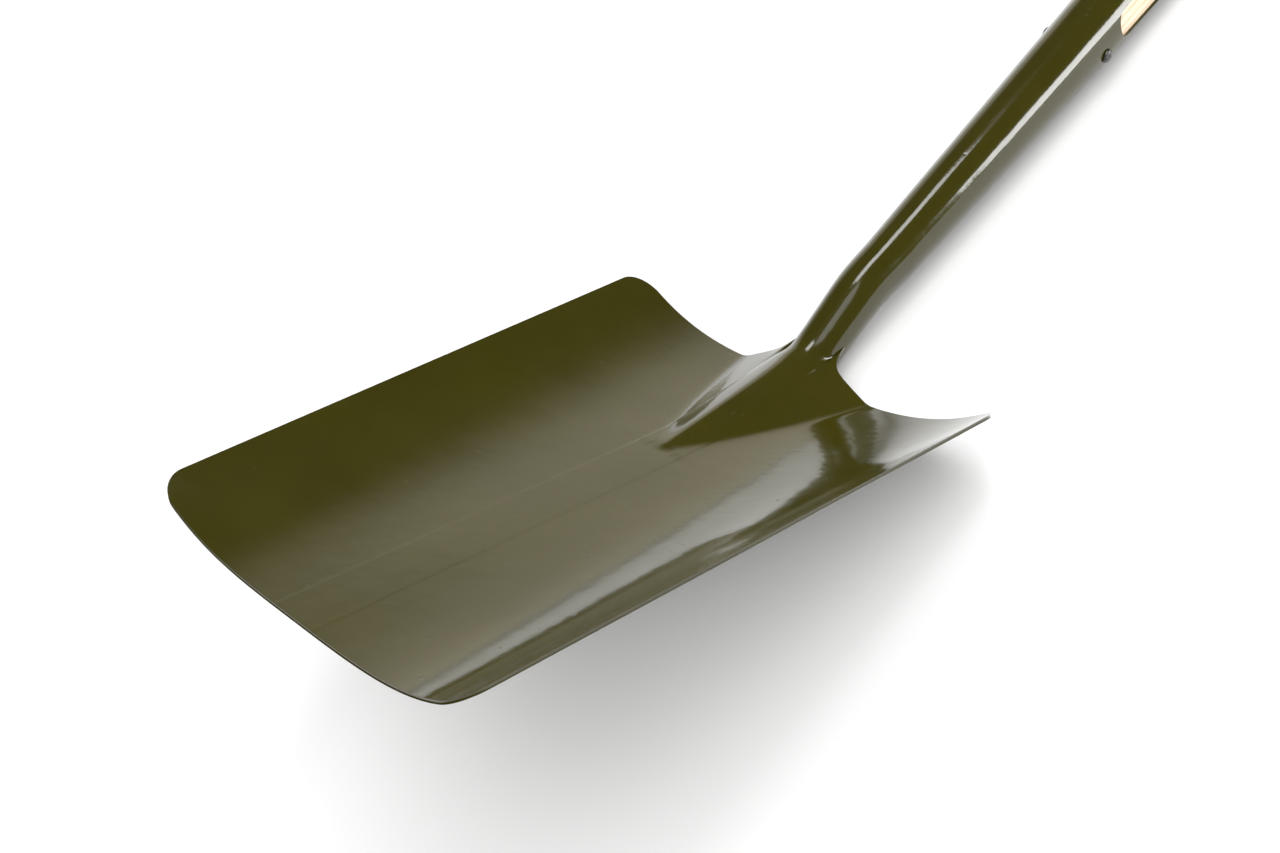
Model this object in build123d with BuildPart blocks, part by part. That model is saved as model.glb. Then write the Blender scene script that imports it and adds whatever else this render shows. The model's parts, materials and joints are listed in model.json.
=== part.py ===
"""Garden spade: a broad dished steel blade, forged in one piece with its neck, socket and
two straps, on an ash shaft with a steel D-grip that holds a turned ash crossbar.

Every piece is modelled in the blade's frame, in millimetres: the origin is the middle of
the mouth, X runs across the blade, Y from the mouth to the heel, and Z out of the dish.
At the end the whole spade is laid on its back, under its neck and its straps.
"""

import math
import os

from build123d import *

# Blade: the dished pan
mouth_width = 224.9
heel_width = 254.0
blade_length = 323.1
mouth_side_height = 19.8
heel_side_height = 31.4
mouth_wall_power = 3.64
heel_wall_power = 3.13
mouth_bow = 0.9
heel_bow = 4.4
heel_bow_power = 2.17
mouth_corner_radius = 13.0
heel_corner_radius = 15.5
sheet = 1.8

# Frog: the ridge that stiffens the blade in front of the neck, and the hollow under it
frog_length = 110.0
frog_rise = 0.195
frog_spread = 0.258
frog_tip_roundness = 1.64
frog_crest_share = 0.35
frog_hollow_depth = 7.2

# Neck, socket and straps, along an axis that rises from its foot behind the heel
socket_foot_gap = 18.4
socket_foot_height = 25.8
socket_lift = 28.05
neck_radius = 13.5
socket_foot_radius = 15.4
socket_cone_start = 60.0
socket_length = 274.0
socket_mouth_radius = 20.5
socket_wall = 1.6
socket_bore_start = 78.0
slot_bottom = 273.0
slot_bottom_radius = 8.2
slot_offset = 1.4
strap_length = 182.0
strap_end_width = 27.0

# Shaft and its fits
handle_length = 711.0
shaft_top_radius = 17.0
shaft_parallel_length = 80.0
shaft_end_chamfer = 2.0
socket_fit = 0.1
rivet_fit = 0.1

# Rivets of the socket and the straps
socket_pin_position = 256.0
socket_pin_turn = 12.0
socket_pin_radius = 3.0
socket_pin_head_radius = 4.3
socket_pin_head_height = 2.6
strap_rivet_radius = 2.75
strap_rivet_head_radius = 5.0
strap_rivet_head_height = 1.6
lower_strap_rivet_distance = 62.0
upper_strap_rivet_distance = 160.0

# D-grip
grip_bar_radius = 14.5
grip_bar_end_radius = 12.5
grip_bar_play = 0.3
finger_gap_width = 100.0
finger_gap_depth = 62.0
finger_gap_corner = 16.0
finger_gap_taper = 34.0
yoke_eye_radius = 15.0
yoke_eye_thickness = 4.0
yoke_depth = 22.0
yoke_arm = 9.0
yoke_wall = 2.2
yoke_crotch = 12.0
yoke_sleeve_length = 72.0
yoke_rivet_radius = 2.5
yoke_rivet_head_radius = 4.5
yoke_rivet_head_height = 1.4
yoke_rivet_inset = 18.0
grip_rod_radius = 4.0
grip_rod_head_radius = 6.5
grip_rod_head_height = 3.0
grip_washer_radius = 9.5
grip_washer_thickness = 1.6
grip_washer_chamfer = 0.4

# Places that follow from the sizes, as distances along the socket's axis from its foot
strap_end = socket_length + strap_length
bar_position = socket_bore_start + handle_length - yoke_eye_radius
sleeve_top = bar_position - grip_bar_radius - finger_gap_depth - yoke_crotch
sleeve_bottom = sleeve_top - yoke_sleeve_length
strap_inner_radius = socket_mouth_radius - socket_wall
shaft_radius = strap_inner_radius - socket_fit
yoke_sleeve_radius = shaft_top_radius + socket_fit + yoke_wall
yoke_half_width = finger_gap_width / 2 + yoke_arm

lift = math.radians(socket_lift)
socket_axis = Vector(0, math.cos(lift), math.sin(lift))
front = Vector(0, -math.sin(lift), math.cos(lift))
socket_foot = Vector(0, blade_length + socket_foot_gap, socket_foot_height)
side_plane = Plane(origin=socket_foot, x_dir=socket_axis, z_dir=(1, 0, 0))
front_plane = Plane(origin=socket_foot, x_dir=socket_axis, z_dir=front)


def cross_plane(distance):
    """Plane square to the socket's axis, looking up it, at a distance from its foot."""
    return Plane(origin=socket_foot + socket_axis * distance, x_dir=(1, 0, 0), z_dir=socket_axis)


def socket_radius(distance):
    """Outer radius of the socket's cone at a distance from its foot."""
    along = (distance - socket_cone_start) / (socket_length - socket_cone_start)
    return socket_foot_radius + (socket_mouth_radius - socket_foot_radius) * along


def half_width(y):
    """Half of the blade's width at a distance from the mouth."""
    return (mouth_width + (heel_width - mouth_width) * y / blade_length) / 2


def pan_height(x, y):
    """Height of the dish over its floor, from its walls' height and how late they rise."""
    along = y / blade_length
    side = mouth_side_height + (heel_side_height - mouth_side_height) * along
    power = mouth_wall_power + (heel_wall_power - mouth_wall_power) * along
    return side * (abs(x) / half_width(y)) ** power


def frog_half_width(behind_tip):
    """Half width of the frog where it leaves the pan, from its distance behind the tip."""
    return frog_spread * behind_tip + frog_tip_roundness * math.sqrt(behind_tip)


def heel_edge(x):
    """Distance of the heel's edge from the mouth at a place across the blade."""
    return blade_length + heel_bow * (1 - abs(x) / (heel_width / 2)) ** heel_bow_power


def neck_plane(distance, dip, pitch):
    """Plane across the neck: how far it dips under the socket's axis, and its pitch to it."""
    turned = lift + math.radians(pitch)
    return Plane(
        origin=socket_foot + socket_axis * distance - front * dip,
        x_dir=(1, 0, 0),
        z_dir=(0, math.cos(turned), math.sin(turned)),
    )


def pan_section(y):
    """Closed band of the pan's sheet across the blade, a little wider than the blade."""
    reach = half_width(y) + heel_corner_radius / 2
    places = [reach * (i / 8 - 1) for i in range(17)]
    with BuildSketch(Plane.XZ.offset(-y)) as section:
        with BuildLine():
            top = Spline(*[(x, pan_height(x, y)) for x in places])
            under = Spline(*[(x, pan_height(x, y) - sheet) for x in places])
            Line(top @ 0, under @ 0)
            Line(top @ 1, under @ 1)
        make_face()
    return section.sketch


def frog_section(behind_tip, sink, bottom):
    """Roof-shaped section of the frog, sunk for the hollow under it, down to its bottom."""
    half = frog_half_width(behind_tip)
    crest = frog_rise * behind_tip + sheet
    foot = half * (crest - sink - bottom) / crest
    with BuildSketch(Plane.XZ.offset(frog_length - blade_length - behind_tip)) as section:
        with BuildLine():
            Polyline((-foot, bottom), (0, crest - sink), (foot, bottom), close=True)
        make_face()
        fillet(section.vertices().group_by(Axis.Y)[-1], radius=half * frog_crest_share)
    return section.sketch


def rivet(origin, direction, square_to, span, radius, head_radius, head_height):
    """Rivet through a span, centred on its origin, with a domed head at each end."""
    half = span / 2
    with BuildPart() as body:
        with BuildSketch(Plane(origin=origin, x_dir=direction, z_dir=square_to)):
            with BuildLine():
                TangentArc((half + head_height, 0), (half, head_radius), tangent=(0, 1))
                Polyline((half, head_radius), (half, radius), (-half, radius), (-half, head_radius))
                TangentArc((-half - head_height, 0), (-half, head_radius), tangent=(0, 1))
                Line((-half - head_height, 0), (half + head_height, 0))
            make_face()
        revolve(axis=Axis(origin, direction))
    return body.part


def rivet_hole(origin, direction, square_to, radius):
    """Long rod that cuts the hole for a rivet, with its clearance."""
    with BuildPart() as body:
        with BuildSketch(Plane(origin=origin, x_dir=square_to, z_dir=direction)):
            Circle(radius + rivet_fit)
        extrude(amount=2 * socket_mouth_radius, both=True)
    return body.part


across = Vector(1, 0, 0)
socket_line = Axis(socket_foot, socket_axis)
pin_turn = math.radians(socket_pin_turn)
pin_direction = across * math.cos(pin_turn) - front * math.sin(pin_turn)
pin_origin = socket_foot + socket_axis * socket_pin_position
lower_rivet_origin = socket_foot + socket_axis * (socket_length + lower_strap_rivet_distance)
upper_rivet_origin = socket_foot + socket_axis * (socket_length + upper_strap_rivet_distance)
yoke_rivet_places = [sleeve_bottom + yoke_rivet_inset, sleeve_top - yoke_rivet_inset]

# ---- Spade head: blade, frog, neck, socket and straps, one forging ----

frog_stations = [frog_length * share for share in (0.02, 0.2, 0.5, 0.8, 1.1)]
frog_roof = loft([frog_section(place, 0, -sheet / 2) for place in frog_stations])
frog_hollow = loft([frog_section(place, sheet, -frog_hollow_depth) for place in frog_stations])

with BuildPart() as blade:
    loft([pan_section(share * blade_length) for share in (-0.02, 0.33, 0.67, 1.04)])
    add(frog_roof)
    add(frog_hollow, mode=Mode.SUBTRACT)
    with BuildSketch(Plane.XY.offset(-heel_side_height)):
        with BuildLine():
            half_mouth = mouth_width / 2
            half_heel = heel_width / 2
            mouth = ThreePointArc((-half_mouth, 0), (0, -mouth_bow), (half_mouth, 0))
            right_side = Line(mouth @ 1, (half_heel, blade_length))
            places = [half_heel * (1 - i / 6) for i in range(13)]
            heel = Spline(*[(x, heel_edge(x)) for x in places])
            Line(heel @ 1, mouth @ 0)
        outline = make_face()
        corners = outline.vertices().group_by(Axis.Y)
        fillet(corners[0], radius=mouth_corner_radius)
        fillet(corners[-1], radius=heel_corner_radius)
    extrude(amount=3 * heel_side_height, mode=Mode.INTERSECT)

neck_stations = [
    # distance along the socket's axis, dip under it, pitch to it, half width, half depth
    (-58.0, -5.0, -22.0, 12.0, 4.5),
    (-35.0, 3.0, -8.0, 17.0, 9.5),
    (-13.0, 6.2, 9.5, neck_radius, neck_radius),
    (11.0, 2.2, 9.5, 14.0, 14.0),
    (34.0, -0.8, 3.0, 14.7, 14.7),
    (socket_cone_start, 0.0, 0.0, socket_foot_radius, socket_foot_radius),
]
sections = []
for distance, dip, pitch, half_across, half_deep in neck_stations:
    with BuildSketch(neck_plane(distance, dip, pitch)) as station:
        Ellipse(half_across, half_deep)
    sections.append(station.sketch)
neck = loft(sections)

slot_corner = slot_bottom + slot_bottom_radius
slot_end_height = math.sqrt(socket_mouth_radius**2 - (strap_end_width / 2) ** 2)
with BuildPart() as spade_head:
    with BuildSketch(side_plane):
        Polygon(
            (socket_cone_start, 0),
            (socket_cone_start, socket_foot_radius),
            (socket_length, socket_mouth_radius),
            (strap_end, socket_mouth_radius),
            (strap_end, strap_inner_radius),
            (socket_length, strap_inner_radius),
            (socket_bore_start, socket_radius(socket_bore_start) - socket_wall),
            (socket_bore_start, 0),
            align=None,
        )
    revolve(axis=socket_line)
    with BuildSketch(side_plane):
        with Locations((slot_corner, slot_offset)):
            Circle(slot_bottom_radius)
        Polygon(
            (slot_corner, slot_offset + slot_bottom_radius),
            (strap_end, slot_end_height),
            (strap_end, -slot_end_height),
            (slot_corner, slot_offset - slot_bottom_radius),
            align=None,
        )
    extrude(amount=2 * socket_mouth_radius, both=True, mode=Mode.SUBTRACT)
    with BuildSketch(front_plane):
        with Locations((strap_end, 0)):
            Rectangle(strap_end_width, 2 * socket_mouth_radius)
        with Locations((strap_end - strap_end_width / 2, 0)):
            Circle(strap_end_width / 2, mode=Mode.SUBTRACT)
    extrude(amount=2 * socket_mouth_radius, both=True, mode=Mode.SUBTRACT)
    add(neck)
    add(blade.part)
    add(rivet_hole(pin_origin, pin_direction, socket_axis, socket_pin_radius), mode=Mode.SUBTRACT)
    for place in (lower_rivet_origin, upper_rivet_origin):
        add(rivet_hole(place, front, across, strap_rivet_radius), mode=Mode.SUBTRACT)


# ---- Ash shaft: its foot fills the socket's bore, and its top fills the yoke's sleeve ----

bore_foot_radius = socket_radius(socket_bore_start) - socket_wall - socket_fit
shaft_foot = socket_bore_start + socket_fit
shaft_top = sleeve_top - socket_fit
with BuildPart() as ash_shaft:
    with BuildSketch(side_plane):
        Polygon(
            (shaft_foot, 0),
            (shaft_foot, bore_foot_radius - shaft_end_chamfer),
            (shaft_foot + shaft_end_chamfer, bore_foot_radius),
            (socket_length, shaft_radius),
            (strap_end, shaft_radius),
            (sleeve_bottom - shaft_parallel_length, shaft_top_radius),
            (shaft_top - shaft_end_chamfer, shaft_top_radius),
            (shaft_top, shaft_top_radius - shaft_end_chamfer),
            (shaft_top, 0),
            align=None,
        )
    revolve(axis=socket_line)
    add(rivet_hole(pin_origin, pin_direction, socket_axis, socket_pin_radius), mode=Mode.SUBTRACT)
    for place in (lower_rivet_origin, upper_rivet_origin):
        add(rivet_hole(place, front, across, strap_rivet_radius), mode=Mode.SUBTRACT)
    for distance in yoke_rivet_places:
        place = socket_foot + socket_axis * distance
        add(rivet_hole(place, front, across, yoke_rivet_radius), mode=Mode.SUBTRACT)

# ---- Grip yoke: a pressed steel sleeve that splits into two channel arms with eyes ----

bar_line = Axis(socket_foot + socket_axis * bar_position, across)
gap_bottom = sleeve_top + yoke_crotch
gap_shoulder = gap_bottom + finger_gap_taper
arm_end = bar_position - yoke_eye_radius
half_gap = finger_gap_width / 2
channel_half_depth = yoke_depth / 2 - yoke_wall
bar_clearance = grip_bar_radius + yoke_wall


def finger_gap(grow):
    """Outline of the space for the fingers, grown outwards all round."""
    with BuildSketch(front_plane) as gap:
        Polygon(
            (gap_bottom, finger_gap_corner),
            (gap_shoulder, half_gap),
            (bar_position + 2 * yoke_eye_radius, half_gap),
            (bar_position + 2 * yoke_eye_radius, -half_gap),
            (gap_shoulder, -half_gap),
            (gap_bottom, -finger_gap_corner),
            align=None,
        )
        lower = gap.vertices().sort_by(Axis.X)[:4]
        fillet(lower, radius=finger_gap_corner)
        if grow:
            offset(amount=grow)
    return gap.sketch


with BuildPart() as grip_yoke:
    with BuildSketch(front_plane):
        Polygon(
            (sleeve_top - yoke_crotch, yoke_sleeve_radius),
            (sleeve_top, yoke_sleeve_radius),
            (gap_shoulder, yoke_half_width),
            (bar_position, yoke_half_width),
            (bar_position, -yoke_half_width),
            (gap_shoulder, -yoke_half_width),
            (sleeve_top, -yoke_sleeve_radius),
            (sleeve_top - yoke_crotch, -yoke_sleeve_radius),
            align=None,
        )
    extrude(amount=yoke_depth / 2, both=True)
    extrude(finger_gap(0), amount=yoke_depth, both=True, mode=Mode.SUBTRACT)
    channel = finger_gap(yoke_arm - yoke_wall)
    extrude(channel, amount=channel_half_depth, both=True, mode=Mode.SUBTRACT)
    with BuildSketch(cross_plane(sleeve_bottom)):
        Circle(yoke_sleeve_radius)
    extrude(amount=yoke_sleeve_length)
    with BuildSketch(cross_plane(sleeve_top)):
        Circle(yoke_sleeve_radius)
    with BuildSketch(cross_plane(gap_bottom)):
        RectangleRounded(2 * yoke_sleeve_radius, yoke_depth, yoke_depth / 3)
    loft()
    for side in (1, -1):
        eye = Plane(
            origin=socket_foot + socket_axis * bar_position + across * (side * yoke_half_width),
            x_dir=socket_axis,
            z_dir=(-side, 0, 0),
        )
        with BuildSketch(eye):
            Circle(yoke_eye_radius)
        extrude(amount=yoke_eye_thickness)
    with BuildSketch(Plane(origin=bar_line.position, x_dir=socket_axis, z_dir=across)):
        Circle(bar_clearance)
    extrude(amount=yoke_half_width - yoke_eye_thickness, both=True, mode=Mode.SUBTRACT)
    with BuildSketch(Plane(origin=bar_line.position, x_dir=socket_axis, z_dir=across)):
        Circle(grip_rod_radius + rivet_fit)
    extrude(amount=2 * yoke_half_width, both=True, mode=Mode.SUBTRACT)
    with BuildSketch(cross_plane(sleeve_bottom)):
        Circle(shaft_top_radius + socket_fit)
    extrude(amount=yoke_sleeve_length, mode=Mode.SUBTRACT)
    for distance in yoke_rivet_places:
        place = socket_foot + socket_axis * distance
        add(rivet_hole(place, front, across, yoke_rivet_radius), mode=Mode.SUBTRACT)

# ---- Crossbar: a turned ash barrel between the yoke's eyes, bored for its rod ----

bar_half_length = yoke_half_width - yoke_eye_thickness - grip_bar_play
with BuildPart() as grip_bar:
    with BuildSketch(Plane(origin=bar_line.position, x_dir=across, z_dir=front)):
        with BuildLine():
            ThreePointArc(
                (-bar_half_length, grip_bar_end_radius),
                (0, grip_bar_radius),
                (bar_half_length, grip_bar_end_radius),
            )
            Polyline(
                (bar_half_length, grip_bar_end_radius),
                (bar_half_length, grip_rod_radius + rivet_fit),
                (-bar_half_length, grip_rod_radius + rivet_fit),
                (-bar_half_length, grip_bar_end_radius),
            )
        make_face()
    revolve(axis=bar_line)

# ---- Rod and washers that hold the crossbar ----

grip_washers = {}
for name, side in (("grip_washer_left", -1), ("grip_washer_right", 1)):
    seat = Plane(
        origin=bar_line.position + across * (side * yoke_half_width),
        x_dir=socket_axis,
        z_dir=(side, 0, 0),
    )
    with BuildPart() as washer:
        with BuildSketch(seat):
            Circle(grip_washer_radius)
            Circle(grip_rod_radius + rivet_fit, mode=Mode.SUBTRACT)
        extrude(amount=grip_washer_thickness)
        rims = washer.edges().filter_by(GeomType.CIRCLE).group_by(SortBy.RADIUS)[-1]
        chamfer(rims, length=grip_washer_chamfer)
    grip_washers[name] = washer.part

# ---- Rivets ----

pin_span = 2 * socket_radius(socket_pin_position + socket_pin_head_radius)
strap_span = 2 * socket_mouth_radius
yoke_span = 2 * yoke_sleeve_radius
rod_span = 2 * (yoke_half_width + grip_washer_thickness)
pieces = {
    "spade_head": spade_head.part,
    "ash_shaft": ash_shaft.part,
    "socket_pin": rivet(
        pin_origin, pin_direction, socket_axis, pin_span,
        socket_pin_radius, socket_pin_head_radius, socket_pin_head_height,
    ),
    "strap_rivet_lower": rivet(
        lower_rivet_origin, front, across, strap_span,
        strap_rivet_radius, strap_rivet_head_radius, strap_rivet_head_height,
    ),
    "strap_rivet_upper": rivet(
        upper_rivet_origin, front, across, strap_span,
        strap_rivet_radius, strap_rivet_head_radius, strap_rivet_head_height,
    ),
    "grip_yoke": grip_yoke.part,
    "grip_bar": grip_bar.part,
    "grip_rod": rivet(
        bar_line.position, across, front, rod_span,
        grip_rod_radius, grip_rod_head_radius, grip_rod_head_height,
    ),
    **grip_washers,
}
for name, distance in zip(("yoke_rivet_lower", "yoke_rivet_upper"), yoke_rivet_places):
    pieces[name] = rivet(
        socket_foot + socket_axis * distance, front, across, yoke_span,
        yoke_rivet_radius, yoke_rivet_head_radius, yoke_rivet_head_height,
    )

# ---- The spade laid on its back: it rests under its neck and on the lower strap rivet ----

neck_bend = neck_plane(*neck_stations[2][:3])
neck_low = neck_bend.origin + neck_bend.y_dir * neck_radius
rivet_low = lower_rivet_origin - front * (socket_mouth_radius + strap_rivet_head_height)
reach = rivet_low - neck_low
laid = Rot(-math.degrees(math.atan2(reach.Z, reach.Y)), 0, 0)
box = Compound([laid * piece for piece in pieces.values()]).bounding_box()
rest = Pos(-box.center().X, -box.center().Y, -box.min.Z) * laid

os.makedirs("parts", exist_ok=True)
for name, piece in pieces.items():
    placed = rest * piece
    placed.label = name
    export_step(placed, f"parts/{name}.step")
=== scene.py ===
"""Looks of the garden spade: an olive-enamelled forged head on an ash shaft with a D-grip.

Sizes are in millimetres in the blade's frame: the origin is the middle of the mouth, X runs
across the blade, Y from the mouth to the heel, and Z out of the dish. `Lay` turns them into
metres in the shared frame.
"""

import json
import logging
import math
from dataclasses import dataclass, field
from enum import Enum

import bmesh
import bpy
from mathutils import Matrix, Vector, noise

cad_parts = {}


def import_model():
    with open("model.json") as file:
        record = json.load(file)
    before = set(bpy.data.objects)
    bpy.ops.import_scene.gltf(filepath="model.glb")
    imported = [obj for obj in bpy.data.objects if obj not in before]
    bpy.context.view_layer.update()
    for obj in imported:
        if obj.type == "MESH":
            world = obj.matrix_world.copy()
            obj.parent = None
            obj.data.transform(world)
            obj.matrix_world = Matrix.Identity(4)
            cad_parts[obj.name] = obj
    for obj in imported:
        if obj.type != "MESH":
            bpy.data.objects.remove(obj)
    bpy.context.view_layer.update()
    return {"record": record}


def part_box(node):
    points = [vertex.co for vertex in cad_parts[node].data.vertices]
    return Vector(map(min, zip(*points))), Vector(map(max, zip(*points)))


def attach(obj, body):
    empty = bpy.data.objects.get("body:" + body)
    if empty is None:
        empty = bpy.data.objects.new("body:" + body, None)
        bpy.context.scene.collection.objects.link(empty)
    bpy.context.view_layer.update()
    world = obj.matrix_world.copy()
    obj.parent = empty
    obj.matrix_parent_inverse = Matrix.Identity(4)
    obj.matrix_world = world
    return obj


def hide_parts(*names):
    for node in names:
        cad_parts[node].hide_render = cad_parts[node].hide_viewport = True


log = logging.getLogger("garden_spade")
MM = 0.001


class Slot(Enum):
    """Material slots of the record."""

    ENAMEL = "olive_enamel"
    ASH = "ash"
    STEEL = "dark_steel"


# ---- Small helpers ----


def smooth_max(a: float, b: float, k: float) -> float:
    """Greater of two heights, blended over about k."""
    return 0.5 * (a + b + math.sqrt((a - b) ** 2 + k * k))


def smooth_min(a: float, b: float, k: float) -> float:
    """Lesser of two heights, blended over about k."""
    return -smooth_max(-a, -b, k)


def smooth_step(low: float, high: float, value: float) -> float:
    """Share from 0 to 1 that a value has gone from low to high, with soft ends."""
    t = min(1.0, max(0.0, (value - low) / (high - low)))
    return t * t * (3 - 2 * t)


def mix(a: float, b: float, t: float) -> float:
    """Value between a and b at share t."""
    return a + (b - a) * t


def along_table(table: list[tuple[float, ...]], at: float) -> list[float]:
    """Reads a table of stations with a smooth curve through them.

    Args:
        table: Rows whose first value is the station, in rising order.
        at: Station to read.

    Returns:
        The other values at that station.
    """
    last = len(table) - 2
    i = max(0, min(last, sum(1 for row in table[1:-1] if row[0] <= at)))
    before, a, b, after = (table[max(0, min(last + 1, j))] for j in (i - 1, i, i + 1, i + 2))
    span = b[0] - a[0]
    t = (at - a[0]) / span
    out = []
    for k in range(1, len(a)):
        slope_a = (b[k] - before[k]) / (b[0] - before[0]) * span
        slope_b = (after[k] - a[k]) / (after[0] - a[0]) * span
        out.append(
            (2 * t**3 - 3 * t**2 + 1) * a[k]
            + (t**3 - 2 * t**2 + t) * slope_a
            + (3 * t**2 - 2 * t**3) * b[k]
            + (t**3 - t**2) * slope_b
        )
    return out


@dataclass
class Lay:
    """How the spade lies: turns a place in the blade's frame into the shared frame."""

    lift: float = 28.05
    foot: tuple[float, float, float] = (0.0, 341.5, 25.8)
    bar_position: float = 774.0
    bar: Vector = field(default_factory=Vector)
    axis: Vector = field(default_factory=Vector)

    def matrix(self) -> Matrix:
        """Matrix from millimetres in the blade's frame to metres in the shared frame."""
        turn = math.atan2(self.axis.z, self.axis.y) - math.radians(self.lift)
        turned = Matrix.Rotation(turn, 4, "X") @ Matrix.Diagonal((MM, MM, MM, 1))
        return Matrix.Translation(self.bar - turned @ self.on_axis(self.bar_position)) @ turned

    def on_axis(self, distance: float, across: float = 0.0, front: float = 0.0) -> Vector:
        """Place beside the socket's axis, at a distance from its foot.

        Args:
            distance: Distance up the axis.
            across: Offset along X.
            front: Offset towards the open side of the dish.

        Returns:
            The place, in the blade's frame.
        """
        tilt = math.radians(self.lift)
        up = Vector((0, math.cos(tilt), math.sin(tilt)))
        out = Vector((0, -math.sin(tilt), math.cos(tilt)))
        return Vector(self.foot) + up * distance + out * front + Vector((across, 0, 0))

    def at_axis(self, distance: float, out: Vector) -> Matrix:
        """Matrix of a turned piece whose Z axis points out, centred on the socket's axis."""
        turned = out.normalized().to_track_quat("Z", "Y").to_matrix().to_4x4()
        return Matrix.Translation(self.on_axis(distance)) @ turned

    @property
    def up(self) -> Vector:
        """Direction of the socket's axis."""
        return self.on_axis(1) - self.on_axis(0)

    @property
    def front(self) -> Vector:
        """Direction square to the axis, out of the dish."""
        return self.on_axis(0, front=1) - self.on_axis(0)


def make_piece(name: str, bm: bmesh.types.BMesh, to_frame: Matrix, smooth: float = 180) -> bpy.types.Object:
    """Turns a bmesh into a scene object.

    Args:
        name: Name of the piece.
        bm: Mesh in the blade's frame; it is freed.
        to_frame: Matrix from the blade's frame to the shared frame.
        smooth: Greatest angle, in degrees, that is shaded smooth.

    Returns:
        The object, at the origin, with its place in its mesh.
    """
    bmesh.ops.remove_doubles(bm, verts=bm.verts[:], dist=0.002)
    bmesh.ops.recalc_face_normals(bm, faces=bm.faces[:])
    bmesh.ops.transform(bm, matrix=to_frame, verts=bm.verts[:])
    bm.normal_update()
    limit = math.radians(smooth)
    for face in bm.faces:
        face.smooth = True
    for edge in bm.edges:
        edge.smooth = len(edge.link_faces) == 2 and edge.calc_face_angle(0) < limit
    mesh = bpy.data.meshes.new(name)
    bm.to_mesh(mesh)
    bm.free()
    piece = bpy.data.objects.new(name, mesh)
    bpy.context.scene.collection.objects.link(piece)
    return piece


def finish_piece(piece: bpy.types.Object, skin: bpy.types.Material, slot: Slot, *nodes: str) -> None:
    """Dresses a piece, rides it on the body and lets it stand for CAD nodes.

    Args:
        piece: The piece.
        skin: Its material.
        slot: The record's slot for it; not used.
        nodes: CAD nodes that it replaces.
    """
    piece.data.materials.append(skin)
    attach(piece, "root")
    if nodes:
        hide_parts(*nodes)
    log.info("%s: %d faces", piece.name, len(piece.data.polygons))


def turned_piece(profile: list[tuple[float, float]], steps: int) -> bmesh.types.BMesh:
    """Spins a profile about Z.

    Args:
        profile: Radius and height of each point, from one pole or rim to the other.
        steps: Faces round the axis.

    Returns:
        The turned shape.
    """
    bm = bmesh.new()
    verts = [bm.verts.new((r, 0, h)) for r, h in profile]
    edges = [bm.edges.new(pair) for pair in zip(verts, verts[1:])]
    bmesh.ops.spin(
        bm, geom=verts + edges, cent=(0, 0, 0), axis=(0, 0, 1),
        angle=2 * math.pi, steps=steps, use_merge=True,
    )
    bmesh.ops.remove_doubles(bm, verts=bm.verts[:], dist=0.001)
    return bm


# ---- Finishes ----


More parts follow.
